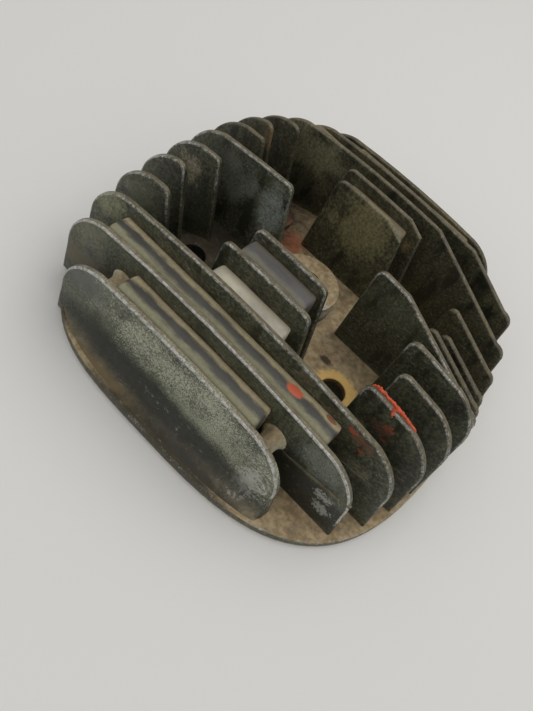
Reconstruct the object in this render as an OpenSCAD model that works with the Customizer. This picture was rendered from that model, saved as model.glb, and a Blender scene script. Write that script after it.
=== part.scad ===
// Air-cooled two-stroke cylinder head with thirteen parallel fins and eight rubber fin dampers.
// Millimetres. The origin is on the gasket face, on the cylinder axis, and +Z points up the plug.
// The fins run along X and are counted from the -Y side. The casting is drawn feature by feature.

/* [Fins] */
// Distance from one fin to the next
fin_pitch = 12; // [11:0.5:13]
// Thickness of each fin
fin_t = 2.6; // [2.2:0.2:3.2]
// Height of the middle fin above the gasket face
head_h = 52.6; // [50:0.2:56]
// Radius of the crown along the fins
crown_along_r = 431; // [380:1:520]
// Radius of the crown across the fins
crown_across_r = 158; // [150:1:220]
// Radius of the outer top corner of a full fin
corner_r = 20; // [16:1:22]
// How far a fin's +X end leans inwards on its way up
right_lean = 2; // [1:0.5:4]
// How far a fin's -X end leans inwards on its way up
left_lean = 1; // [0.5:0.5:3]
// Reach of the two outermost fins towards +X
outer_fin_right = 52; // [50:1:54]
// Reach of the two outermost fins towards -X
outer_fin_left = 54; // [50:1:54]
// Radius of the concave root in front of the two outermost fins
outer_root_r = 9.5; // [6:0.5:9.5]

/* [Plate] */
// Reach of the plate towards +X
plate_right = 85; // [83:1:90]
// Reach of the plate towards -X
plate_left = 72; // [71.5:0.5:80]
// Half width of the plate across the fins
plate_half_w = 84; // [84:1:88]
// Squareness of the plate's front left corner, where 2 is an ellipse
front_left_square = 3.2; // [3:0.1:3.6]
// Squareness of the plate's front right corner
front_right_square = 3.3; // [3.1:0.1:3.6]
// Squareness of the plate's two back corners
back_square = 2.9; // [2.9:0.1:3.6]
// Thickness of the plate at its rim
plate_t = 4; // [3:0.5:5]

/* [Chamber and bosses] */
// Height of the thick middle above the gasket face
hub_h = 12; // [11:0.5:13]
// Radius of the thick middle at its top
hub_top_r = 46; // [44:1:50]
// Radius of the thick middle where it meets the plate
hub_base_r = 62; // [60:1:66]
// Radius of the combustion chamber at the gasket face
chamber_r = 28; // [24:1:29]
// Depth of the combustion chamber
chamber_depth = 10; // [8:0.5:10]
// Outer radius of the squish band
squish_r = 33; // [31:0.5:34]
// Height of the spark plug seat above the gasket face
plug_seat_z = 21; // [20:0.5:23]
// Radius of the spark plug boss
plug_boss_r = 14; // [12:0.5:15]
// Diameter of the tapped spark plug hole at its crests
plug_bore_d = 12.65; // [12.6:0.05:12.7]

/* [Studs] */
// Distance between stud holes along the fins
stud_along = 75; // [73:1:76]
// Distance between stud holes across the fins
stud_across = 48; // [46:1:50]
// Diameter of each stud hole
stud_hole_d = 10.5; // [9.6:0.1:11.4]
// Radius of each stud boss
stud_boss_r = 10.5; // [9.5:0.5:11]
// Height of each stud seat above the gasket face
stud_seat_z = 14; // [13:0.5:15]

/* [Cut-outs] */
// Half width of the plug well in the middle fin
plug_gap = 21; // [19:1:22]
// Where the stubs beside the stud wells begin on the fins each side of a stud
stub_near = 46; // [46:0.5:48]
// Where the stubs begin on the fins in line with the studs
stub_far = 51; // [50:0.5:52]
// Half length at the top of the middle blocks in line with the studs
block_short = 16.5; // [15:0.5:18]
// Half length at the top of the longer middle blocks
block_long = 20; // [19:0.5:21]
// How far a middle block's +X ends flare out on their way down
block_flare = 8; // [4:0.5:8]
// How far a middle block's -X ends flare out on their way down
block_flare_left = 2; // [0:0.5:4]
// How far the -X stubs flare into the wells on their way down
stub_flare = 9; // [4:0.5:9]
// Radius of the inner top corners at the cut-outs
inner_r = 3.5; // [2:0.5:4]

/* [Relief of the +X shoulder] */
// Slope of the lowered shoulder, in height for each unit of length
relief_slope = 0.49; // [0.45:0.01:0.55]
// Height of the lowered shoulder at relief_x
relief_z = 28.8; // [27:0.2:31]
// Station at which relief_z is measured
relief_x = 55; // [50:1:60]

/* [Dampers and posts] */
// Depth of each damper bar
damper_h = 12; // [10:1:14]
// Bevel along the edges of each damper bar
damper_bevel = 0.8; // [0.4:0.2:1.2]
// Radius of the two bridging posts
post_r = 3.5; // [2.5:0.5:4]
// Distance of each bridging post from the middle
post_x = 36.5; // [36:0.5:40]
// Height of the bridging posts' axis
post_z = 23.5; // [22:0.5:26]

/* [Hidden] */
FIN_NODES = ["fin_01", "fin_02", "fin_03", "fin_04", "fin_05", "fin_06", "fin_07",
             "fin_08", "fin_09", "fin_10", "fin_11", "fin_12", "fin_13"];
DAMPER_NODES = ["damper_front_1", "damper_front_2", "damper_front_3", "damper_front_4",
                "damper_back_4", "damper_back_3", "damper_back_2", "damper_back_1"];

eps = 0.01;
tall = 100;
fine = 180;
casting = [0.27, 0.28, 0.24];
bare_alloy = [0.62, 0.62, 0.60];
rubber = [0.47, 0.44, 0.39];

fin_count = 13;
mid_fin = 7;
fin_gap = fin_pitch - fin_t;
stud_x = stud_along / 2;
stud_y = stud_across / 2;
chamber_ball_r = (chamber_r * chamber_r + chamber_depth * chamber_depth) / (2 * chamber_depth);
squish_rise = 1;
outline_steps = 24;
rim_margin = 0.5;
relief_corner_r = 6;

// Height of the lowered shoulder on fins 7 to 12 above the common slope
relief_lift = [12.5, 5, -1.2, -1.2, 0, 2];
first_relieved = 7;

// The front fins' ends follow lines of their own: squarer than the plate towards -X, rounder towards +X
fin_left_square = 4.2;
fin_right_square = 3;

// Ends and top height of the four dampers on each side, from the outside in
damper_from = [-31, -50, -16, -14.4];
front_damper_to = [31, 50, 16, 14.4];
front_damper_top = [34.5, 37.5, 40, 46.5];
back_damper_to = [31, 18, 16, 14.4];
back_damper_top = [34.5, 37.5, 38, 44];

function fin_y(i) = (i - mid_fin) * fin_pitch;
function from_middle(i) = abs(i - mid_fin);
function crown_z(i) = head_h - fin_y(i) * fin_y(i) / (2 * crown_across_r);
function crown_drop(x) = x * x / (2 * crown_along_r);

// Half length of a rounded outline at a distance y from the middle
function outline_half(reach, y, square) =
    reach * pow(1 - pow(abs(y) / plate_half_w, square), 1 / square);
function end_square(i, side) =
    i > mid_fin ? back_square : side > 0 ? fin_right_square : fin_left_square;
function fin_end(i, side) =
    from_middle(i) == mid_fin - 1 ? (side > 0 ? outer_fin_right : outer_fin_left) :
    outline_half(side > 0 ? plate_right : plate_left, abs(fin_y(i)) + fin_t / 2,
                 end_square(i, side)) - rim_margin;

// One quarter of the plate's outline, as points on a rounded rectangle
function quarter(reach_x, reach_y, square, from, to) =
    [for (k = [0 : outline_steps])
        let (a = from + (to - from) * k / outline_steps, c = cos(a), s = sin(a))
        [sign(c) * reach_x * pow(abs(c), 2 / square),
         sign(s) * reach_y * pow(abs(s), 2 / square)]];

function is_relieved(i) = i >= first_relieved && i < first_relieved + len(relief_lift);
function relief_top(i, x) =
    relief_z + relief_lift[i - first_relieved] - relief_slope * (x - relief_x);

module plate_outline() {
    polygon(concat(quarter(plate_right, plate_half_w, back_square, 0, 89.9),
                   quarter(plate_left, plate_half_w, back_square, 90, 180),
                   quarter(plate_left, plate_half_w, front_left_square, 180.1, 269.9),
                   quarter(plate_right, plate_half_w, front_right_square, 270, 359.9)));
}

// Everything that the fins stand on, without its holes
module foundation() {
    linear_extrude(plate_t) plate_outline();
    cylinder(r = hub_base_r, h = plate_t, $fn = fine);
    translate([0, 0, plate_t - eps])
        cylinder(r1 = hub_base_r, r2 = hub_top_r, h = hub_h - plate_t + eps, $fn = fine);
    for (sx = [-1, 1], sy = [-1, 1])
        translate([sx * stud_x, sy * stud_y, 0]) cylinder(r = stud_boss_r, h = stud_seat_z, $fn = fine);
}

module chamber() {
    translate([0, 0, chamber_depth - chamber_ball_r]) sphere(r = chamber_ball_r, $fn = fine);
    translate([0, 0, -1]) cylinder(r1 = squish_r + 1, r2 = squish_r - squish_rise - 1,
                                   h = 1 + squish_rise, $fn = fine);
}

// Plate, thick middle and stud bosses, with the chamber below and four stud holes through
module base_plate() {
    color(casting) difference() {
        foundation();
        chamber();
        translate([0, 0, -1]) cylinder(r = plug_boss_r, h = tall, $fn = fine);
        for (sx = [-1, 1], sy = [-1, 1])
            translate([sx * stud_x, sy * stud_y, -1]) cylinder(d = stud_hole_d, h = tall, $fn = fine);
    }
}

// Boss with the tapped hole and the machined seat for the spark plug
module plug_boss() {
    color(bare_alloy) difference() {
        cylinder(r = plug_boss_r, h = plug_seat_z, $fn = fine);
        chamber();
        translate([0, 0, -1]) cylinder(d = plug_bore_d, h = tall, $fn = fine);
    }
}

// One half of a fin seen from the front, from the middle out to its rounded end
module half_profile(end_x, lean, top_z, r) {
    lean_x = end_x - lean;
    corner_x = lean_x - r;
    corner_z = top_z - crown_drop(corner_x) - r;
    polygon([[0, 0], [end_x, 0], [end_x, plate_t], [lean_x, corner_z], [corner_x, corner_z],
             [corner_x, top_z], [0, top_z]]);
    translate([corner_x, corner_z]) circle(r = r, $fn = fine);
}

// The lowered +X shoulder, as the part of the half plane that stays
module relief_keep(i, end_x) {
    lean_x = end_x - right_lean;
    corner_x = lean_x - relief_corner_r;
    corner_z = relief_top(i, corner_x) - relief_corner_r;
    polygon([[0, 0], [end_x, 0], [end_x, plate_t], [lean_x, corner_z], [corner_x, corner_z],
             [corner_x, relief_top(i, corner_x)], [0, relief_top(i, 0)]]);
    translate([corner_x, corner_z]) circle(r = relief_corner_r, $fn = fine);
}

// A gap from x0 to x1 that rounds the top corner of the metal on each side of it
module gap(i, x0, x1, flare0, flare1) {
    corner_z0 = crown_z(i) - crown_drop(abs(x0) - inner_r) - inner_r;
    corner_z1 = crown_z(i) - crown_drop(x1 + inner_r) - inner_r;
    polygon([[x0 + flare0, 0], [x0, corner_z0], [x0, tall], [x1, tall], [x1, corner_z1],
             [x1 + flare1, 0]]);
    translate([x0 - inner_r, corner_z0]) difference() {
        square([inner_r, tall]);
        circle(r = inner_r, $fn = fine);
    }
    translate([x1, corner_z1]) difference() {
        square([inner_r, tall]);
        translate([inner_r, 0]) circle(r = inner_r, $fn = fine);
    }
}

module stud_gap(i, side) {
    n = from_middle(i);
    block = n == 2 ? block_short : block_long;
    stub = n == 2 ? stub_far : stub_near;
    if (side > 0) gap(i, block, stub, block_flare, 0);
    else mirror([1, 0]) gap(i, block, stub, block_flare_left, -stub_flare);
}

module full_profile(i) {
    top_z = crown_z(i);
    intersection() {
        translate([0, top_z - crown_along_r]) circle(r = crown_along_r, $fn = 4 * fine);
        translate([-tall, plate_t]) square(2 * tall);
        union() {
            mirror([1, 0]) half_profile(fin_end(i, -1), left_lean, top_z, corner_r);
            if (is_relieved(i)) intersection() {
                half_profile(fin_end(i, 1), right_lean, top_z, relief_corner_r);
                relief_keep(i, fin_end(i, 1));
            } else half_profile(fin_end(i, 1), right_lean, top_z, corner_r);
        }
    }
}

// A shoulder that has been lowered still has its inner corner rounded
module relieved_corner(i, stub) {
    top_z = relief_top(i, stub + inner_r);
    translate([stub - eps, top_z - inner_r]) difference() {
        square([inner_r, 2 * inner_r]);
        translate([inner_r, 0]) circle(r = inner_r, $fn = fine);
    }
}

module fin_profile(i) {
    n = from_middle(i);
    difference() {
        full_profile(i);
        if (n == 0) gap(i, -plug_gap, plug_gap, stub_flare, 0);
        if (n == 1) gap(i, -stub_near, stub_near, stub_flare, 0);
        if (n == 2 || n == 3) {
            stud_gap(i, -1);
            stud_gap(i, 1);
        }
        if (is_relieved(i) && n == 1) relieved_corner(i, stub_near);
        if (is_relieved(i) && n == 2) relieved_corner(i, stub_far);
        if (is_relieved(i) && n == 3) relieved_corner(i, stub_near);
    }
}

// Concave root that blends an outermost fin into the plate
module outer_root(i) {
    outwards = sign(fin_y(i));
    from = -fin_end(i, -1) + left_lean;
    to = fin_end(i, 1) - right_lean;
    face_y = fin_y(i) + outwards * fin_t / 2;
    intersection() {
        translate([from, face_y, plate_t]) rotate([90, 0, 90]) linear_extrude(to - from) difference() {
            scale([outwards, 1]) square(outer_root_r);
            translate([outwards * outer_root_r, outer_root_r]) circle(r = outer_root_r, $fn = fine);
        }
        linear_extrude(tall) plate_outline();
    }
}

// One fin, which is two or three separate walls where the wells cut through it
module fin(i) {
    color(casting) {
        difference() {
            translate([0, fin_y(i) + fin_t / 2, 0]) rotate([90, 0, 0])
                linear_extrude(fin_t) fin_profile(i);
            foundation();
        }
        if (from_middle(i) == mid_fin - 1) outer_root(i);
    }
}

// Two short round posts that tie the first fin to the second
module bridge_posts() {
    color(casting) for (sx = [-1, 1])
        translate([sx * post_x, fin_y(1) + fin_t / 2, post_z]) rotate([-90, 0, 0])
            cylinder(r = post_r, h = fin_gap, $fn = fine);
}

// One rubber bar pressed between two fins, n bars in from the outside, on the -Y or +Y side
module damper(n, side) {
    b = damper_bevel;
    from = damper_from[n - 1];
    to = side > 0 ? back_damper_to[n - 1] : front_damper_to[n - 1];
    top_z = side > 0 ? back_damper_top[n - 1] : front_damper_top[n - 1];
    mid_y = side * (fin_y(fin_count) - (n - 0.5) * fin_pitch);
    color(rubber) translate([from, mid_y, top_z]) rotate([90, 0, 90]) linear_extrude(to - from)
        polygon([[-fin_gap / 2 + b, 0], [-fin_gap / 2, -b], [-fin_gap / 2, b - damper_h],
                 [-fin_gap / 2 + b, -damper_h], [fin_gap / 2 - b, -damper_h],
                 [fin_gap / 2, b - damper_h], [fin_gap / 2, -b], [fin_gap / 2 - b, 0]]);
}

base_plate();
plug_boss();
bridge_posts();
for (i = [1 : fin_count])
    fin(i);
for (n = [1 : 4]) {
    damper(n, -1);
    damper(n, 1);
}
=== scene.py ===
# An air-cooled two-stroke cylinder head: one aluminium casting with thirteen fins in worn black
# paint, and eight rubber bars pressed in between the fins to keep them from ringing.
from math import atan2, cos, hypot, pi, radians, sin, sqrt
import bmesh
import bpy
from mathutils import Matrix, Vector, noise


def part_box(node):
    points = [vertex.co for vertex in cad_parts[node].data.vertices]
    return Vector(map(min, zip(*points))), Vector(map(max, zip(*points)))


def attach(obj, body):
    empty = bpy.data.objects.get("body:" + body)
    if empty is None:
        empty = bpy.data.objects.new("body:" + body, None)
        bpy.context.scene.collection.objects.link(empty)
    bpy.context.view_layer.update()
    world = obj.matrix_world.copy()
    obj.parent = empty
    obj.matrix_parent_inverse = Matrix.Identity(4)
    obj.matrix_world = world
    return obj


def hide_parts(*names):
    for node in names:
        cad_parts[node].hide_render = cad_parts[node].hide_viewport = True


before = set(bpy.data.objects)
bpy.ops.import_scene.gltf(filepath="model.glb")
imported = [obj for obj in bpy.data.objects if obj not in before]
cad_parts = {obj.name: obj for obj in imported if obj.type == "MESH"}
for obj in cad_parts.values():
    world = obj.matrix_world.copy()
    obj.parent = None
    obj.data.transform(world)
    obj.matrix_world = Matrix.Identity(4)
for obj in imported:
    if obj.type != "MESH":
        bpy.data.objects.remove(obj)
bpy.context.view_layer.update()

scene = bpy.context.scene

# ------------------------------------------------------------------------------------------------
# Base plate. The bottom of the casting: a flange that follows the cylinder's top, a thick middle
# over the combustion chamber, and four bosses with holes for the cylinder's studs. Cast aluminium,
# painted black above, machined flat below, and covered in road dust wherever dust can lie.
# ------------------------------------------------------------------------------------------------

MM = 0.001
STUD_X, STUD_Y = 37.5, 24.0
BOSS_R, BOSS_TOP = 10.5, 14.0
FLANGE_TOP, HUB_RISE = 4.0, 8.0
HUB_FOOT_R, HUB_SLOPE = 62.0, 16.0
PLATE_LEFT, PLATE_RIGHT, PLATE_DEEP = 72.0, 85.0, 84.0


def ground(x, y):
    """Height in mm of the casting's floor between the fins."""
    if hypot(abs(x) - STUD_X, abs(y) - STUD_Y) < BOSS_R:
        return BOSS_TOP
    return FLANGE_TOP + HUB_RISE * min(1.0, max(0.0, (HUB_FOOT_R - hypot(x, y)) / HUB_SLOPE))


def shell_of(name):
    """A merged copy of a frame node's mesh, ready for its edges to be finished."""
    bm = bmesh.new()
    bm.from_mesh(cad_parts[name].data)
    bmesh.ops.remove_doubles(bm, verts=bm.verts, dist=1e-6)
    bmesh.ops.dissolve_limit(bm, angle_limit=radians(0.5), verts=bm.verts, edges=bm.edges)
    return bm


def round_over(bm, edges, width):
    """Rounds edges over by the given width in mm and gives back the new faces."""
    return bmesh.ops.bevel(bm, geom=edges, offset=width * MM, offset_type="OFFSET", affect="EDGES",
                           segments=3, profile=0.5, material=-1)["faces"]


def pulled(bm, faces):
    """Closes a sheet of faces into a solid and gives back its new corners, for moving."""
    grown = bmesh.ops.extrude_face_region(bm, geom=faces, use_keep_orig=True)["geom"]
    return [g for g in grown if isinstance(g, bmesh.types.BMVert)]


def piece(name, bm, material, nodes, smooth=35):
    """Turns a bmesh into a named piece that rides on the head and stands for its frame nodes."""
    bmesh.ops.recalc_face_normals(bm, faces=bm.faces)
    mesh = bpy.data.meshes.new(name)
    bm.to_mesh(mesh)
    bm.free()
    made = bpy.data.objects.new(name, mesh)
    scene.collection.objects.link(made)
    for m in (material if isinstance(material, list) else [material]):
        mesh.materials.append(m)
    for polygon in mesh.polygons:
        polygon.use_smooth = True
    mesh.set_sharp_from_angle(angle=radians(smooth))
    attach(made, "root")
    if nodes:
        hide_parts(*nodes)
    return made


def tint(red, green, blue):
    """A colour as the eye names it, 0 to 255, turned into light for the shader."""
    return tuple(((c / 255 + 0.055) / 1.055) ** 2.4 if c > 10 else c / 255 / 12.92
                 for c in (red, green, blue)) + (1.0,)


def feed(tree, socket, value):
    """Gives a shader socket a value, or a link from another socket."""
    if isinstance(value, bpy.types.NodeSocket):
        tree.links.new(value, socket)
    else:
        socket.default_value = value


def put(tree, kind, inputs=None, **settings):
    """Adds a shader node, sets it up and fills its sockets with values or links."""
    node = tree.nodes.new("ShaderNode" + kind)
    for key, value in settings.items():
        setattr(node, key, value)
    for key, value in (inputs or {}).items():
        feed(tree, node.inputs[key], value)
    return node


def calc(tree, operation, a, b=None, clamp=False):
    inputs = {0: a} if b is None else {0: a, 1: b}
    return put(tree, "Math", inputs, operation=operation, use_clamp=clamp).outputs[0]


def times(tree, a, b):
    return calc(tree, "MULTIPLY", a, b)


def vector(tree, operation, a, b):
    return put(tree, "VectorMath", {0: a, 1: b}, operation=operation).outputs[0]


def ramp(tree, value, low, high, out_low=0.0, out_high=1.0):
    """Maps low..high to out_low..out_high with soft ends."""
    return put(tree, "MapRange", {"Value": value, "From Min": low, "From Max": high,
                                  "To Min": out_low, "To Max": out_high},
               interpolation_type="SMOOTHSTEP").outputs[0]


def clouds(tree, at, scale, detail, roughness=0.5):
    """Noise from 0 to 1, in shapes about 1 / scale mm across."""
    return put(tree, "TexNoise", {"Vector": at, "Scale": scale, "Detail": detail,
                                  "Roughness": roughness}).outputs["Fac"]


def swing(tree, field, amount):
    """Noise from 0 to 1 turned into a push of the given amount to either side of nothing."""
    return times(tree, calc(tree, "SUBTRACT", field, 0.5), amount)


def blend(tree, factor, a, b):
    """Lays colour b over colour a where factor is 1."""
    mix = put(tree, "Mix", data_type="RGBA")
    for socket, value in ((mix.inputs[0], factor), (mix.inputs[6], a), (mix.inputs[7], b)):
        feed(tree, socket, value)
    return mix.outputs[2]


def blank(name):
    """A new material, its node tree, its main shader and the place on the head in mm."""
    material = bpy.data.materials.new(name)
    material.use_nodes = True
    tree = material.node_tree
    place = vector(tree, "MULTIPLY", put(tree, "TexCoord").outputs["Object"], (1000, 1000, 1000))
    return material, tree, tree.nodes["Principled BSDF"], place


def effect(name, inputs, output):
    """A new shader node group with named inputs and one named output."""
    tree = bpy.data.node_groups.new(name, "ShaderNodeTree")
    for socket_name, value in inputs.items():
        kind = "NodeSocketVector" if isinstance(value, tuple) else "NodeSocketFloat"
        socket = tree.interface.new_socket(socket_name, in_out="INPUT", socket_type=kind)
        socket.default_value = value
    tree.interface.new_socket(output, in_out="OUTPUT", socket_type="NodeSocketFloat")
    return tree, tree.nodes.new("NodeGroupInput").outputs, tree.nodes.new("NodeGroupOutput").inputs


def use(tree, group, **values):
    """Places an effect in a material with its own values and gives back its output."""
    node = tree.nodes.new("ShaderNodeGroup")
    node.node_tree = group
    for key, value in values.items():
        feed(tree, node.inputs[key.replace("_", " ")], value)
    return node.outputs[0]


def far_off(tree, i):
    """Distance of the Place from the Centre, where 1 is as far as the Reach."""
    away = vector(tree, "SUBTRACT", i["Place"], i["Centre"])
    away = vector(tree, "DIVIDE", away, i["Reach"])
    return put(tree, "VectorMath", {0: away}, operation="LENGTH").outputs["Value"]


# Patches: a mask of ragged spots, Size mm across, that cover the given part of the surface.
patches, i, o = effect("ragged patches", {"Place": (0, 0, 0), "Size": 5.0, "Cover": 0.5,
                                          "Edge": 0.1}, "Mask")
field = clouds(patches, i["Place"], calc(patches, "DIVIDE", 1.0, i["Size"]), 6.0, 0.62)
level = ramp(patches, i["Cover"], 0.0, 1.0, 0.78, 0.22)
over = calc(patches, "DIVIDE", calc(patches, "SUBTRACT", field, level), i["Edge"])
patches.links.new(calc(patches, "ADD", 0.5, over, clamp=True), o["Mask"])

# Spot: a stain, chip or patch of painted shade, of the given half sizes in mm at a place on the
# head.
spot, i, o = effect("stain, chip or painted shade", {"Place": (0, 0, 0), "Centre": (0, 0, 0), "Reach": (1, 1, 1),
                                      "Ragged": 0.4, "Grain": 2.0, "Edge": 0.12}, "Mask")
wobble = clouds(spot, i["Place"], calc(spot, "DIVIDE", 1.0, i["Grain"]), 4.0, 0.7)
away = calc(spot, "ADD", far_off(spot, i), swing(spot, wobble, times(spot, i["Ragged"], 4.0)))
spot.links.new(ramp(spot, away, calc(spot, "ADD", 1.0, i["Edge"]),
                    calc(spot, "SUBTRACT", 1.0, i["Edge"])), o["Mask"])

# Worn flecks: fine specks that lie thick at the middle of a place and thin out towards its reach.
flecks, i, o = effect("worn flecks", {"Place": (0, 0, 0), "Centre": (0, 0, 0), "Reach": (1, 1, 1),
                                      "Grain": 0.5, "Speckle": 3.4}, "Mask")
bend = clouds(flecks, i["Place"], 0.1, 4.0, 0.55)
away = calc(flecks, "ADD", far_off(flecks, i), swing(flecks, bend, 2.0))
thick = ramp(flecks, away, 1.45, 0.1, 0.0, 0.66)
speck = clouds(flecks, i["Place"], calc(flecks, "DIVIDE", 1.0, i["Grain"]), 3.0, 0.7)
over = calc(flecks, "ADD", thick, swing(flecks, speck, i["Speckle"]))
flecks.links.new(times(flecks, ramp(flecks, over, 0.3, 0.95), ramp(flecks, thick, 0.0, 0.2)),
                 o["Mask"])

# Edge wear: paint knocked off down to bare metal, where a mesh's "crest" is high, in broken flecks.
edge_wear, i, o = effect("edge wear", {"Place": (0, 0, 0), "Crest": 0.0, "Wear": 1.0}, "Mask")
fine = clouds(edge_wear, i["Place"], 1.5, 7.0, 0.8)
slow = clouds(edge_wear, i["Place"], 0.14, 5.0, 0.7)
push = calc(edge_wear, "ADD", swing(edge_wear, fine, 3.0), swing(edge_wear, slow, 2.2))
total = calc(edge_wear, "ADD", times(edge_wear, i["Crest"], i["Wear"]), times(edge_wear, push, 0.5))
edge_wear.links.new(times(edge_wear, ramp(edge_wear, total, 0.42, 0.82),
                          ramp(edge_wear, i["Crest"], 0.02, 0.2)), o["Mask"])

# Dust: a mask of what settles on level places and gathers in corners.
dust, i, o = effect("settled dust", {"Place": (0, 0, 0), "Level": 0.8, "Corners": 0.8,
                                     "Reach": 8.0}, "Mask")
up = put(dust, "SeparateXYZ", {0: put(dust, "NewGeometry").outputs["Normal"]}).outputs["Z"]
drift = clouds(dust, i["Place"], 0.11, 9.0, 0.68)
lies = times(dust, ramp(dust, up, 0.25, 0.9), i["Level"])
lies = times(dust, lies, ramp(dust, drift, 0.25, 0.6, 0.45, 1.15))
open_sky = put(dust, "AmbientOcclusion", {"Distance": times(dust, i["Reach"], MM)}, samples=6)
shut = calc(dust, "SUBTRACT", 1.0, open_sky.outputs["AO"])
kept = times(dust, ramp(dust, shut, 0.3, 0.85), i["Corners"])
kept = times(dust, kept, ramp(dust, drift, 0.35, 0.6, 0.3, 1.1))
dust.links.new(calc(dust, "MAXIMUM", lies, kept, clamp=True), o["Mask"])

# Cast skin: the height of a sand-cast surface, with broad unevenness, grain and pits.
cast_skin, i, o = effect("cast skin", {"Place": (0, 0, 0), "Grain": 1.0, "Pits": 0.5}, "Height")
broad = clouds(cast_skin, i["Place"], 0.16, 3.0, 0.5)
grains = clouds(cast_skin, i["Place"], 2.4, 5.0, 0.7)
holes = put(cast_skin, "TexVoronoi", {"Vector": i["Place"], "Scale": 0.9}).outputs["Distance"]
pits = times(cast_skin, ramp(cast_skin, holes, 0.22, 0.05), i["Pits"])
total = calc(cast_skin, "ADD", times(cast_skin, broad, 2.2), times(cast_skin, grains, i["Grain"]))
cast_skin.links.new(calc(cast_skin, "SUBTRACT", total, pits), o["Height"])

# Scratches: thin broken lines that run along a stretched direction.
scratches, i, o = effect("scratches", {"Place": (0, 0, 0), "Stretch": (0.1, 1, 1), "Thin": 0.01,
                                       "Cover": 0.5}, "Mask")
line = clouds(scratches, vector(scratches, "MULTIPLY", i["Place"], i["Stretch"]), 1.0, 3.0, 0.6)
line = calc(scratches, "ABSOLUTE", calc(scratches, "SUBTRACT", line, 0.5))
line = calc(scratches, "SUBTRACT", 1.0, calc(scratches, "DIVIDE", line, i["Thin"]), clamp=True)
where = calc(scratches, "ADD", clouds(scratches, i["Place"], 0.3, 4.0),
             times(scratches, i["Cover"], 0.5))
scratches.links.new(times(scratches, line, ramp(scratches, where, 0.68, 0.8)), o["Mask"])


def painted(name, black=(70, 73, 63), faded=(98, 99, 82), faded_cover=0.45, dust_level=0.6,
            dust_corners=0.3, wear=1.0, scratched=0.2, depth=0.75, speckle=1.0, worn=(), stains_and_shade=()):
    """Worn black paint over cast aluminium. Worn: (centre, reach, grain, colour). Stains and shade:
    (centre, reach, ragged, grain, colour, edge), for stains and for patches of painted shade. All
    places and sizes in mm."""
    bleached, soot_black, oil_black = tint(134, 132, 102), tint(26, 28, 19), tint(30, 32, 23)
    old_dirt, road_dust = tint(156, 132, 96), tint(204, 182, 144)
    dull_metal, bare_metal = tint(128, 124, 112), tint(206, 204, 198)
    material, tree, shader, place = blank(name)
    # paint, faded in broad clouds and mottled finely, darker where oil and soot have run
    cloud = use(tree, patches, Place=place, Size=16.0, Cover=faded_cover, Edge=0.45)
    colour = blend(tree, cloud, tint(*black), tint(*faded))
    mottle = clouds(tree, place, 0.9, 8.0, 0.78)
    colour = blend(tree, times(tree, ramp(tree, mottle, 0.49, 0.64), 0.55), colour, bleached)
    colour = blend(tree, times(tree, ramp(tree, mottle, 0.5, 0.38), 0.8), colour, soot_black)
    oily = clouds(tree, vector(tree, "MULTIPLY", place, (1, 1, 0.35)), 0.16, 5.0, 0.6)
    colour = blend(tree, times(tree, ramp(tree, oily, 0.5, 0.66), depth), colour, oil_black)
    rough = ramp(tree, oily, 0.4, 0.65, 0.55, 0.36)
    # dust over the paint
    dusty = use(tree, dust, Place=place, Level=dust_level, Corners=dust_corners, Reach=6.0)
    tone = clouds(tree, place, 0.35, 7.0, 0.7)
    dirt = blend(tree, ramp(tree, tone, 0.35, 0.65), old_dirt, road_dust)
    colour = blend(tree, times(tree, dusty, 0.92), colour, dirt)
    rough = calc(tree, "ADD", rough, times(tree, dusty, 0.4), clamp=True)
    # worn flecks, stains, and patches of painted shade
    for centre, size, grain, shade in worn:
        mask = use(tree, flecks, Place=place, Centre=centre, Reach=size, Grain=grain,
                   Speckle=speckle)
        colour = blend(tree, mask, colour, tint(*shade))
        rough = calc(tree, "ADD", rough, times(tree, mask, 0.12), clamp=True)
    for centre, size, ragged, grain, shade, edge in stains_and_shade:
        mask = use(tree, spot, Place=place, Centre=centre, Reach=size, Ragged=ragged, Grain=grain,
                   Edge=edge)
        colour = blend(tree, times(tree, mask, 0.9), colour, tint(*shade))
    # bare metal on the edges and in the scratches
    crest = put(tree, "Attribute", attribute_name="crest").outputs["Fac"]
    knocked = use(tree, edge_wear, Place=place, Crest=crest, Wear=wear)
    lines = use(tree, scratches, Place=place, Stretch=(0.09, 0.5, 0.5), Thin=0.012, Cover=scratched)
    bare = calc(tree, "MAXIMUM", knocked, times(tree, lines, 0.5))
    metal = blend(tree, ramp(tree, mottle, 0.38, 0.6), dull_metal, bare_metal)
    rough = calc(tree, "SUBTRACT", rough, times(tree, bare, 0.15), clamp=True)
    feed(tree, shader.inputs["Base Color"], blend(tree, bare, colour, metal))
    feed(tree, shader.inputs["Roughness"], rough)
    feed(tree, shader.inputs["Metallic"], times(tree, bare, 0.3))
    skin = use(tree, cast_skin, Place=place, Grain=0.8, Pits=0.4)
    height = calc(tree, "ADD", skin, times(tree, dusty, 0.5))
    bump = put(tree, "Bump", {"Height": height, "Distance": 0.00025, "Strength": 0.9})
    feed(tree, shader.inputs["Normal"], bump.outputs[0])
    return material


plate_paint = painted(
    "dusty plate paint", dust_level=1.15, dust_corners=0.9, wear=0.75, depth=0.4, stains_and_shade=[
        ((38, -24, 14), (9.2, 9.2, 2.5), 0.16, 1.6, (250, 206, 124), 0.15),
        ((37.5, -24, 12), (5.7, 5.7, 4.5), 0.08, 2.0, (84, 62, 36), 0.15),
        ((-21, 19, 12), (6, 7, 3), 0.35, 3.0, (184, 112, 76), 0.35),
        ((-34, 24, 14), (8, 8, 3), 0.4, 3.0, (150, 100, 70), 0.4),
        ((27, -14, 12), (2.6, 1.6, 2), 0.2, 2.0, (70, 58, 42), 0.3),
        # a broad dark patch over the left of the floor between the fins is painted shade, not a
        # stain
        ((-46, -4, 10), (26, 60, 14), 0.25, 7.0, (36, 33, 24), 0.3),
        ((14, -84, 4), (46, 3.5, 3), 0.25, 4.0, (60, 57, 46), 0.4),
        ((-50, -70, 4), (14, 9, 3), 0.3, 4.0, (70, 64, 48), 0.4)])

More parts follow.
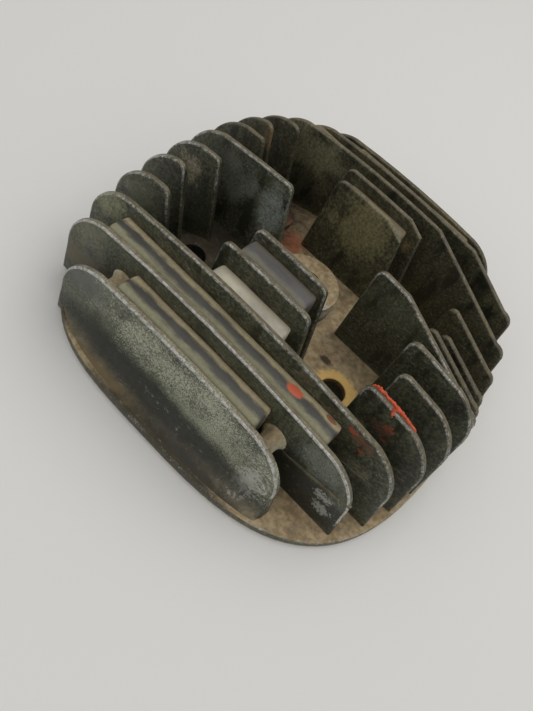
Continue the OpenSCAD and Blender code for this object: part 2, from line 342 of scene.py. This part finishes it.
# Machined alloy: faint rings from the lathe. Soot covers it out to SOOT_R and is gone at SOOT_END.
SOOT_R, SOOT_END = 30.0, 36.0
machined, tree, shader, place = blank("machined alloy")
flat = put(tree, "SeparateXYZ", {0: place}).outputs
radius = calc(tree, "SQRT", calc(tree, "ADD", times(tree, flat[0], flat[0]),
                                 times(tree, flat[1], flat[1])))
turned = put(tree, "CombineXYZ", {0: times(tree, radius, 5.0)}).outputs[0]
rings = clouds(tree, turned, 1.0, 2.0)
soot = use(tree, patches, Place=place, Size=9.0, Cover=0.5, Edge=0.3)
burnt = times(tree, ramp(tree, radius, SOOT_END, SOOT_R), ramp(tree, soot, 0.0, 1.0, 0.55, 1.0))
dull = use(tree, patches, Place=place, Size=12.0, Cover=0.4, Edge=0.3)
colour = blend(tree, dull, tint(160, 160, 155), tint(132, 128, 118))
feed(tree, shader.inputs["Base Color"], blend(tree, burnt, colour, tint(52, 46, 40)))
feed(tree, shader.inputs["Metallic"],
     calc(tree, "SUBTRACT", 0.9, times(tree, burnt, 0.8), clamp=True))
feed(tree, shader.inputs["Roughness"], ramp(tree, burnt, 0.0, 1.0, 0.34, 0.85))
height = calc(tree, "ADD", rings, times(tree, burnt, soot))
bump = put(tree, "Bump", {"Height": height, "Distance": 0.00004, "Strength": 0.7})
feed(tree, shader.inputs["Normal"], bump.outputs[0])


def on_rim(v):
    """Whether a corner of the plate is on the flange's outer edge."""
    r = hypot(v.co.x, v.co.y)
    return r > 64 * MM or r > 52 * MM and v.co.z < 4.5 * MM


bm = shell_of("base_plate")
rim = [e for e in bm.edges if len(e.link_faces) == 2 and e.calc_face_angle(0) > radians(60)
       and all(on_rim(v) for v in e.verts)]
crest = bm.loops.layers.float.new("crest")
for f in round_over(bm, rim, 0.9):
    for corner in f.loops:
        corner[crest] = 0.6 if corner.vert.co.z > 2 * MM else 0.3
for f in bm.faces:
    middle = f.calc_center_median()
    below = f.normal.z < -0.7 and middle.z < 0.2 * MM
    dish = hypot(*middle.xy) < 34.5 * MM and middle.z < 10.5 * MM and f.normal.z < 0.1
    f.material_index = 1 if below or dish else 0
piece("casting_base_plate", bm, [plate_paint, machined], ["base_plate"])

# ------------------------------------------------------------------------------------------------
# Fins. Thirteen thin walls cast in one with the plate, thicker at the root than at the top so that
# the pattern draws out of the sand. Black paint, knocked bare along the tops and dusty at the foot.
# ------------------------------------------------------------------------------------------------

PITCH, MIDDLE_FIN, HALF_FIN = 12.0, 7, 1.3
FOOT_SPREAD, DRAFT = 1.14, 0.0064
WALL_Y = 73.33      # the end fins' outer side at the foot
SWEEP_X = -1.0      # the middle of the end fins' length

outer_paint = painted(
    "front fin paint", black=(74, 77, 65), faded=(100, 103, 87), depth=0.55, speckle=3.4,
    dust_level=0.35, dust_corners=0.15, wear=1.2, scratched=0.25, worn=[
        ((0, -73, 26), (54, 9, 15), 0.5, (178, 181, 158)),
        ((24, -73, 18), (30, 9, 13), 0.45, (168, 171, 148)),
        ((41, -73, 15), (7, 6, 10), 1.6, (196, 196, 184))], stains_and_shade=[
        ((41, -73.4, 15), (3.6, 5, 6.0), 1.7, 1.5, (168, 168, 156), 0.25),
        ((-42, -74, 27), (9, 6, 7), 0.35, 7.0, (84, 86, 76), 0.6),
        # a dark band painted along the fin's hollow root: a painted dark reflection in the glossy
        # hollow
        ((-4, -76, 9.0), (54, 6, 5.4), 0.1, 9.0, (36, 37, 31), 0.5),
        ((-26, -82.4, 4.2), (28, 3.6, 2.4), 0.3, 5.0, (122, 104, 70), 0.5),
        ((22, -82, 4.4), (32, 4.2, 3.2), 0.3, 4.0, (56, 53, 42), 0.5)])
second_paint = painted(
    "second fin paint", black=(66, 70, 57), faded=(98, 101, 80), dust_level=0.3, speckle=1.8,
    wear=1.1, scratched=0.3, worn=[
        ((56, -61, 31), (18, 8, 9), 0.6, (118, 124, 114)),
        ((66, -61, 20), (6, 6, 5), 1.6, (150, 152, 140)),
        ((-55, -61, 30), (14, 8, 12), 0.7, (118, 116, 92))], stains_and_shade=[
        ((-46, -61, 14), (26, 6, 6), 0.4, 6.0, (92, 84, 62), 0.5),
        ((55, -61, 13), (24, 5, 9.5), 0.15, 6.0, (32, 33, 27), 0.25),
        ((61, -61.4, 19), (3.2, 3, 1.7), 1.5, 1.2, (150, 152, 144), 0.2),
        ((63, -61.4, 13), (3.4, 3, 2.2), 1.5, 1.2, (140, 142, 134), 0.2)])
inner_paint = painted(
    "inner fin paint", black=(50, 53, 41), faded=(88, 90, 69), dust_level=0.22, wear=0.6,
    scratched=0.4, worn=[
        ((-25, -1, 36), (11, 8, 18), 0.8, (160, 166, 158)),
        ((-44, -1, 38), (16, 8, 16), 1.0, (122, 124, 112)),
        ((-56, -13, 38), (9, 6, 9), 0.9, (212, 198, 164)),
        ((-60, -49, 33), (13, 6, 13), 0.9, (160, 160, 124)),
        ((-60, -37, 34), (10, 6, 9), 0.8, (114, 116, 92)),
        ((56, -37, 22), (6, 5, 6), 0.8, (142, 134, 102)),
        ((60, -37, 35), (8, 5, 5), 1.3, (120, 76, 56)),
        ((66, -25, 28), (7, 5, 9), 1.0, (150, 140, 110)),
        ((58, -49, 38), (8, 5, 3.5), 1.2, (124, 82, 60)),
        ((60, -49, 26), (10, 5, 7), 1.1, (146, 142, 116))], stains_and_shade=[
        ((61, -37.6, 37), (1.5, 1.2, 1.3), 1.4, 0.9, (158, 80, 54), 0.3),
        ((62, -37.6, 31), (1.0, 1.2, 0.8), 1.4, 0.8, (150, 76, 52), 0.3),
        ((59, -49.6, 34), (1.3, 1.2, 0.8), 1.4, 0.8, (158, 80, 54), 0.3),
        ((53, -49.6, 39), (1.6, 1.5, 0.9), 1.4, 0.8, (170, 82, 56), 0.2),
        ((52, -37.6, 26), (3.0, 1.5, 4.5), 0.7, 2.0, (142, 136, 108), 0.5),
        ((71, -13.6, 26), (2.4, 1.5, 6.0), 0.9, 1.6, (146, 76, 52), 0.4)])
back_paint = painted(
    "back fin paint", black=(46, 46, 36), faded=(86, 82, 58), faded_cover=0.5, dust_level=0.18,
    dust_corners=0.3, wear=0.32, depth=0.9, worn=[
        ((4, 23, 38), (22, 8, 26), 1.1, (140, 133, 94)),
        ((-42, 45, 34), (30, 8, 18), 1.2, (150, 146, 112)),
        ((-50, 23, 42), (8, 6, 8), 0.9, (136, 112, 80)),
        ((17, 35, 38), (3, 4, 5), 0.8, (164, 142, 98))])


def needless(before, here, after):
    """Whether an outline's corner is straight on, or ends a step too short to be a real edge."""
    x, z = here[0] - before[0], here[1] - before[1]
    next_x, next_z = after[0] - here[0], after[1] - here[1]
    turn = abs(atan2(x * next_z - z * next_x, x * next_x + z * next_z))
    shortest = 0.9 if turn < radians(40) else 0.6
    return hypot(x, z) < shortest or turn < radians(1)


def outlines(name, y):
    """The fin's outlines (x, z) in mm on its flat side at y, with the machine-made slivers out."""
    least_area, tolerance = 20, 0.03
    bm = shell_of(name)
    bmesh.ops.remove_doubles(bm, verts=bm.verts, dist=0.05 * MM)
    aside = [f for f in bm.faces if abs(f.normal.y) < 0.99
             or abs(f.calc_center_median().y / MM - y) > tolerance]
    bmesh.ops.delete(bm, geom=aside, context="FACES")
    steps = {}
    for e in bm.edges:
        if e.is_boundary:
            loop = e.link_loops[0]
            steps.setdefault(loop.vert, []).append(loop.link_loop_next.vert)
    found = []
    while steps:
        ring, at = [], next(iter(steps))
        while at in steps:
            ring.append((at.co.x / MM, at.co.z / MM))
            here, at = at, steps[at].pop()
            if not steps[here]:
                del steps[here]
        area = sum(a[0] * b[1] - b[0] * a[1] for a, b in zip(ring[-1:] + ring[:-1], ring)) / 2
        if abs(area) <= least_area:
            continue
        while len(ring) > 3:
            spare = next((k for k in range(len(ring))
                          if needless(ring[k - 1], ring[k], ring[(k + 1) % len(ring)])), None)
            if spare is None:
                break
            ring.pop(spare)
        found.append(ring)
    bm.free()
    return found


def above_floor(v):
    """Height in mm of a corner above the casting's floor."""
    return v.co.z / MM - ground(v.co.x / MM, v.co.y / MM)


def faces_of(verts):
    return list(dict.fromkeys(f for v in verts for f in v.link_faces))


for number in range(1, 14):
    name = "fin_%02d" % number
    middle = (number - MIDDLE_FIN) * PITCH * MM
    flank = middle / MM + (HALF_FIN if number == 1 else -HALF_FIN)
    bm = bmesh.new()
    for ring in outlines(name, flank):
        corners = []
        for x, z in ring:
            # the foot is sunk into the floor, and more where the flange falls away beneath it
            foot = z < ground(x, flank) + 0.3 and z < 16
            sunk = 3.4 if number == 1 and x < -40 else 1.6
            at = Vector((x, middle / MM - HALF_FIN, z - sunk if foot else z)) * MM
            corners.append(bm.verts.new(at))
        bm.faces.new(corners)
    bmesh.ops.translate(bm, verts=pulled(bm, bm.faces[:]), vec=(0, 2 * HALF_FIN * MM, 0))
    bmesh.ops.recalc_face_normals(bm, faces=bm.faces)
    crisp = [e for e in bm.edges if abs(e.verts[0].co.y - e.verts[1].co.y) < 1e-6
             and e.calc_face_angle(0) > radians(60) and max(map(above_floor, e.verts)) > 0.5]
    round_over(bm, crisp, 0.7)
    # bare metal may show on the rim and on a narrow band beside it
    crest = bm.loops.layers.float.new("crest")
    flanks = [f for f in bm.faces if abs(f.normal.y) > 0.999 and f.calc_area() > 2e-5]
    bands = bmesh.ops.inset_individual(bm, faces=flanks, thickness=1.1 * MM, depth=0.0,
                                       use_even_offset=True)["faces"]
    inner = {v for f in flanks for v in f.verts}
    for f in bm.faces:
        facing = 1.0 if f.normal.y < -0.15 else 0.36 if f.normal.y < 0.3 else 0.2
        near = 0.2 if f in bands else facing
        for corner in f.loops:
            high = min(1.0, max(0.0, (above_floor(corner.vert) - 4.0) / 8.0))
            corner[crest] = 0.0 if f in flanks or corner.vert in inner else high * near
    for v in bm.verts:
        v.co.y = middle + (v.co.y - middle) * (FOOT_SPREAD - DRAFT * v.co.z / MM)
    if number in (1, 13):
        # the end fins' foot sweeps out over the flange in a hollow curve, up to its rim
        side = -1 if number == 1 else 1
        sheet = bmesh.ops.create_grid(bm, x_segments=96, y_segments=12, size=1.0)["verts"]
        for v in sheet:
            x, turn = SWEEP_X + v.co.x * 52.6, (v.co.y + 1) * pi / 4
            reach = PLATE_LEFT if x < 0 else PLATE_RIGHT
            square = (3.2 if x < 0 else 3.3) if number == 1 else 2.9
            rim_y = PLATE_DEEP * (1 - (abs(x) / reach) ** square) ** (1 / square) - 0.8
            rounding = sqrt(max(0.0, 1 - max(0.0, abs(x - SWEEP_X) - 51.0) ** 2 / 2.7))
            depth = max(0.3, rim_y - WALL_Y) * max(0.08, rounding)
            tall = 11.5 * min(1.0, depth / 5.0)
            v.co = Vector((x, side * (WALL_Y + depth * (1 - sin(turn))),
                           3.9 + tall * (1 - cos(turn)))) * MM
        for v in pulled(bm, faces_of(sheet)):
            v.co.y, v.co.z = side * 72.4 * MM, 2.2 * MM + 0.9 * (v.co.z - 3.0 * MM)
    if 2 <= number <= 7:
        # the seam left by the mould, from the side of the well down to the end of the fin
        start = {2: 39.0, 3: 41.0, 7: 57.0}.get(number, 53.0)
        end = {2: 69.0, 3: 74.0}.get(number, 77.0)
        proud = 0.75 if number == 2 else 0.3
        seam = bmesh.ops.create_grid(bm, x_segments=24, y_segments=4, size=1.0)["verts"]
        for v in seam:
            along, turn = (v.co.x + 1) / 2, (v.co.y + 1) * pi / 2
            x = start + (end - start) * along
            wander = 0.35 * noise.noise(Vector((x * 0.35, number, 0)))
            taper = min(1.0, 6 * along, 6 * (1 - along)) * proud
            v.co = Vector((x, middle / MM - 1.28 - taper * sin(turn),
                           20.5 + 5.0 * along + wander + 0.55 * cos(turn))) * MM
        bmesh.ops.translate(bm, verts=pulled(bm, faces_of(seam)), vec=(0, 0.9 * MM, 0))
    paint = {1: outer_paint, 2: second_paint}.get(number, inner_paint if number < 8 else back_paint)
    piece("casting_" + name, bm, paint, [name])

# ------------------------------------------------------------------------------------------------
# Bridging posts. Two short round posts cast between the first and second fins, which stiffen the
# outermost fin. Part of the same casting, with a soft fillet at each end.
# ------------------------------------------------------------------------------------------------

POST_X, POST_Y, POST_Z = 36.5, -70.9, 23.5

bm = bmesh.new()
for side in (-1, 1):
    made = bmesh.ops.create_circle(bm, cap_ends=False, segments=40, radius=4.4 * MM)["verts"]
    bmesh.ops.rotate(bm, verts=made, cent=(0, 0, 0), matrix=Matrix.Rotation(radians(90), 3, "X"))
    bmesh.ops.translate(bm, verts=made, vec=(side * POST_X * MM, POST_Y * MM, POST_Z * MM))
    ring = list(dict.fromkeys(e for v in made for e in v.link_edges))
    for step, width in ((0.5, 3.8), (0.9, 3.5), (5.4, 3.6), (1.2, 3.9), (1.0, 4.4), (0.7, 5.2)):
        grown = bmesh.ops.extrude_edge_only(bm, edges=ring)["geom"]
        ring = [g for g in grown if isinstance(g, bmesh.types.BMEdge)
                and all(v in grown for v in g.verts)]
        verts = list(dict.fromkeys(v for e in ring for v in e.verts))
        centre = Vector((side * POST_X * MM, verts[0].co.y, POST_Z * MM))
        now = (verts[0].co - centre).length / MM
        bmesh.ops.scale(bm, verts=verts, vec=(width / now, 1, width / now),
                        space=Matrix.Translation(-centre))
        bmesh.ops.translate(bm, verts=verts, vec=(0, step * MM, 0))
bmesh.ops.holes_fill(bm, edges=bm.edges, sides=60)
post_paint = painted("post paint", black=(160, 150, 122), faded=(232, 222, 192), faded_cover=0.75,
                     depth=0.3, dust_level=0.9, dust_corners=0.3, wear=0.5)
piece("casting_bridge_posts", bm, post_paint, ["bridge_posts"])

# ------------------------------------------------------------------------------------------------
# Spark plug boss. The plug's hole in the middle of the head, plain where a real one has its thread,
# with the machined seat that the plug's gasket is pulled down on.
# ------------------------------------------------------------------------------------------------

bm = shell_of("plug_boss")
for f in bm.faces:
    painted_side = hypot(*f.calc_center_median().xy) > 7.5 * MM or f.normal.z > 0.7
    f.material_index = 0 if painted_side else 1
boss_paint = painted("boss paint", faded_cover=0.3, dust_level=1.15, dust_corners=0.7, wear=0.6,
                     depth=0.3, worn=[((13, -2, 18), (6, 6, 5), 1.2, (206, 202, 190))])
piece("casting_plug_boss", bm, [boss_paint, machined], ["plug_boss"])

# ------------------------------------------------------------------------------------------------
# Dampers. Moulded rubber bars pushed down between the fins, squeezed so that their tops bulge.
# Dust lies along both sides of each bar, painted lighter on one side and darker on the other as
# light and shade, and the crown of the bulge is rubbed clean.
# ------------------------------------------------------------------------------------------------


def rubber(name, crown_tone, near_side_dust_and_shade, far_side_dust_and_shade, dust_cover, stains_and_shade=()):
    """Old rubber, clean along the crown of a bar, with the dust on its two sides painted in a
    lighter and a darker tone as light and shade. Stains and shade: (centre, reach, colour), in mm.
    """
    material, tree, shader, place = blank(name)
    crown, dull_crown = tint(*crown_tone), tint(*[int(c * 0.8) for c in crown_tone])
    near_dust_and_shade, far_dust_and_shade = tint(*near_side_dust_and_shade), tint(*far_side_dust_and_shade)
    dark_dust = tint(*[int(c * 0.6) for c in near_side_dust_and_shade])
    # the distance to either side of the crown: the bars lie midway between the fins
    y = put(tree, "SeparateXYZ", {0: place}).outputs["Y"]
    across = calc(tree, "FRACT", calc(tree, "DIVIDE", calc(tree, "ADD", y, 50 * PITCH), PITCH))
    signed = calc(tree, "SUBTRACT", across, 0.5)
    across = times(tree, calc(tree, "ABSOLUTE", signed), PITCH)
    drift = clouds(tree, vector(tree, "MULTIPLY", place, (0.35, 1, 1)), 0.3, 8.0, 0.7)
    edge = calc(tree, "ADD", across, ramp(tree, drift, 0.25, 0.75, -0.8, 0.8))
    side = times(tree, ramp(tree, edge, 0.7, 2.7), dust_cover)
    worn = use(tree, patches, Place=place, Size=14.0, Cover=0.5, Edge=0.3)
    fleck = use(tree, patches, Place=place, Size=1.4, Cover=0.5, Edge=0.6)
    # the dust's tone on the two sides of the crown: one side painted lighter and the other darker,
    # as the light and shade that fall across the bar
    dirt = blend(tree, ramp(tree, signed, -0.08, 0.08), near_dust_and_shade, far_dust_and_shade)
    dirt = blend(tree, times(tree, fleck, 0.5), dirt, dark_dust)
    colour = blend(tree, side, blend(tree, worn, crown, dull_crown), dirt)
    for centre, size, shade in stains_and_shade:
        mask = use(tree, spot, Place=place, Centre=centre, Reach=size, Ragged=0.22, Grain=1.6,
                   Edge=0.12)
        colour = blend(tree, times(tree, mask, 0.93), colour, tint(*shade))
    feed(tree, shader.inputs["Base Color"], colour)
    feed(tree, shader.inputs["Roughness"], ramp(tree, side, 0.0, 1.0, 0.5, 0.9))
    grain = clouds(tree, place, 3.0, 5.0, 0.7)
    bump = put(tree, "Bump", {"Height": grain, "Distance": 0.00012, "Strength": 0.6})
    feed(tree, shader.inputs["Normal"], bump.outputs[0])
    return material


# crown, near side dust, far side dust, dust cover: the two sides' tones differ as painted light and
# shade
outer_tones = (80, 78, 71), (156, 153, 124), (202, 186, 148), 1.0
dampers = {
    "damper_front_1": rubber("long damper rubber", *outer_tones),
    "damper_front_2": rubber("spotted damper rubber", *outer_tones, [
        ((31.8, -53.2, 38.4), (3.3, 1.8, 4), (206, 94, 60)),
        ((46, -51, 37), (2.2, 1.0, 3), (150, 96, 70))]),
    "damper_front_3": rubber("bleached damper rubber", (228, 221, 198), (236, 227, 200),
                             (212, 202, 174), 0.8),
    "damper_front_4": rubber("dark damper rubber", (92, 90, 88), (150, 146, 124),
                             (120, 114, 98), 0.55)}
back_rubber = rubber("dusty damper rubber", (128, 120, 96), (150, 138, 108), (136, 122, 92), 0.9)
for number in (4, 3, 2, 1):
    dampers["damper_back_%d" % number] = back_rubber

for name, material in dampers.items():
    low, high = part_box(name)
    size, centre = high - low, (low + high) / 2
    bm = bmesh.new()
    shape = Matrix.Translation(centre) @ Matrix.Diagonal((*size, 1))
    bmesh.ops.create_cube(bm, size=1.0, matrix=shape)
    round_over(bm, bm.edges[:], 1.0)
    # cut into short lengths, about 3 mm each, so that the top can swell
    for count, axis in ((int(size.x / MM / 3), 0), (6, 1)):
        for k in range(1, count):
            at, normal = centre.copy(), Vector((0, 0, 0))
            at[axis] = low[axis] + size[axis] * k / count
            normal[axis] = 1
            bmesh.ops.bisect_plane(bm, geom=bm.verts[:] + bm.edges[:] + bm.faces[:], dist=1e-7,
                                   plane_co=at, plane_no=normal)
    for v in bm.verts:
        u = (v.co.y - centre.y) / (size.y / 2)
        w = (v.co.x - centre.x) / (size.x / 2)
        rise = max(0.0, (v.co.z - centre.z) / (size.z / 2))
        v.co.z += rise * (1 - u * u) * (1 - w ** 6) * 0.9 * MM
        v.co.z += rise * 0.35 * MM * noise.noise(v.co * 90)
        v.co.x += (1 - u * u) * w ** 7 * 0.5 * MM
    piece("rubber_" + name, bm, material, [name], smooth=50)

# ------------------------------------------------------------------------------------------------
# Sealant. A smear of red gasket sealant squeezed out and dried along a fin's top edge: a thin,
# lumpy thread that forks. It is a trace of use and no part of the head, so it has no slot.
# ------------------------------------------------------------------------------------------------

STEPS, SIDES = 6, 10    # rings from one point of a thread to the next, and corners in each ring
# Each thread is a row of points (x, y, z, half width), in mm.
threads = (
    ((47.6, -35.2, 44.9, 0.4), (49.0, -35.0, 45.7, 0.9), (50.6, -35.1, 45.7, 0.5),
     (52.6, -34.8, 45.4, 0.9), (54.6, -35.1, 45.3, 0.6), (56.4, -34.8, 44.9, 1.0),
     (58.4, -35.1, 44.7, 0.8), (60.4, -35.0, 44.4, 0.6), (62.4, -35.3, 44.1, 0.7),
     (65.0, -35.3, 43.7, 0.5), (67.0, -35.4, 43.2, 0.3)),
    ((55.8, -34.9, 45.1, 0.7), (56.4, -34.3, 43.4, 0.6), (57.8, -34.3, 41.8, 0.4),
     (58.6, -34.5, 40.6, 0.3)),
    ((52.8, -34.9, 45.4, 0.6), (51.8, -34.3, 43.8, 0.5), (51.6, -34.5, 42.6, 0.3)),
    ((59.4, -35.1, 44.6, 0.7), (60.6, -34.4, 43.2, 0.5), (61.6, -34.6, 42.2, 0.3)),
    ((57.6, -35.0, 44.8, 0.6), (57.4, -36.2, 44.9, 0.7), (58.0, -37.4, 43.8, 0.5),
     (58.6, -37.5, 42.6, 0.3)))
noise.seed_set(1795054422)      # without a seed, noise_vector follows the clock
bm = bmesh.new()
for thread in threads:
    spine = [Vector(p[:3]) for p in thread]
    rings = []
    for k in range((len(thread) - 1) * STEPS + 1):
        part = min(k // STEPS, len(thread) - 2)
        t = k / STEPS - part
        at = spine[part].lerp(spine[part + 1], t)
        width = thread[part][3] * (1 - t) + thread[part + 1][3] * t
        width *= 0.9 + 0.9 * noise.noise(at * 1.7)
        at = at + 0.3 * noise.noise_vector(at * 0.9)
        forward = (spine[part + 1] - spine[part]).normalized()
        across = forward.cross(Vector((0, 1, 0))).normalized()
        upward = across.cross(forward)
        rings.append([])
        for a in range(SIDES):
            outward = across * cos(a * pi / 5) + upward * sin(a * pi / 5)
            rings[-1].append(bm.verts.new((at + outward * width) * MM))
    for one, two in zip(rings, rings[1:]):
        for a in range(SIDES):
            b = (a + 1) % SIDES
            bm.faces.new((one[a], one[b], two[b], two[a]))
    bm.faces.new(rings[0])
    bm.faces.new(rings[-1])
silicone, tree, shader, place = blank("red sealant")
grime = use(tree, patches, Place=place, Size=1.6, Cover=0.4, Edge=0.3)
feed(tree, shader.inputs["Base Color"], blend(tree, grime, tint(222, 92, 54), tint(140, 60, 40)))
feed(tree, shader.inputs["Roughness"], 0.5)
piece("sealant_smear", bm, silicone, [], smooth=60)

# ------------------------------------------------------------------------------------------------
# Table, light and camera. The head stands on a plain pale top, under one soft box from behind and
# two weaker ones from the right and the front. The camera looks down on its front left corner.
# ------------------------------------------------------------------------------------------------

bm = bmesh.new()
bmesh.ops.create_grid(bm, x_segments=1, y_segments=1, size=3.0)
mesh = bpy.data.meshes.new("table_top")
bm.to_mesh(mesh)
bm.free()
table_top = bpy.data.objects.new("table_top", mesh)
scene.collection.objects.link(table_top)
pale = bpy.data.materials.new("pale table")
pale.use_nodes = True
shader = pale.node_tree.nodes["Principled BSDF"]
shader.inputs["Base Color"].default_value = tint(236, 235, 231)
shader.inputs["Roughness"].default_value = 0.8
mesh.materials.append(pale)

lit_spot = Vector((0, 0, 0.02))
for label, lamp_at, size, power, shade in (
        ("soft box behind", (0.14, 0.42, 0.85), 0.8, 3.0, (1.0, 0.99, 0.97)),
        ("soft box right", (0.7, -0.1, 0.7), 0.7, 0.8, (1.0, 0.98, 0.95)),
        ("soft box front", (-0.4, -0.7, 0.55), 0.9, 1.5, (0.97, 0.98, 1.0))):
    lamp = bpy.data.lights.new(label, "AREA")
    lamp.size, lamp.energy, lamp.color = size, power, shade
    holder = bpy.data.objects.new(label, lamp)
    holder.location = lamp_at
    holder.rotation_euler = (lit_spot - Vector(lamp_at)).to_track_quat("-Z", "Y").to_euler()
    scene.collection.objects.link(holder)

world = bpy.data.worlds.new("studio")
world.use_nodes = True
background = world.node_tree.nodes["Background"]
background.inputs["Color"].default_value = (1.0, 1.0, 1.0, 1.0)
background.inputs["Strength"].default_value = 0.4
scene.world = world
scene.view_settings.view_transform = "Standard"

camera_data = bpy.data.cameras.new("camera")
camera_data.sensor_fit, camera_data.sensor_width, camera_data.lens = "HORIZONTAL", 36.0, 43.17
camera_data.clip_start = 0.01
camera = bpy.data.objects.new("camera", camera_data)
azimuth, elevation, roll, distance = radians(17.0), radians(52.5), radians(31.0), 225
looking = Vector((-sin(azimuth) * cos(elevation), cos(azimuth) * cos(elevation), -sin(elevation)))
right = Vector((cos(azimuth), sin(azimuth), 0))
above = right.cross(looking)
right, above = right * cos(roll) + above * sin(roll), above * cos(roll) - right * sin(roll)
looked_at = Vector((13.3, -37.9, 20.0)) * MM
facing = Matrix((right, above, -looking)).transposed().to_4x4()
camera.matrix_world = Matrix.Translation(looked_at - looking * distance * MM) @ facing
scene.collection.objects.link(camera)
scene.camera = camera

bpy.context.view_layer.update()
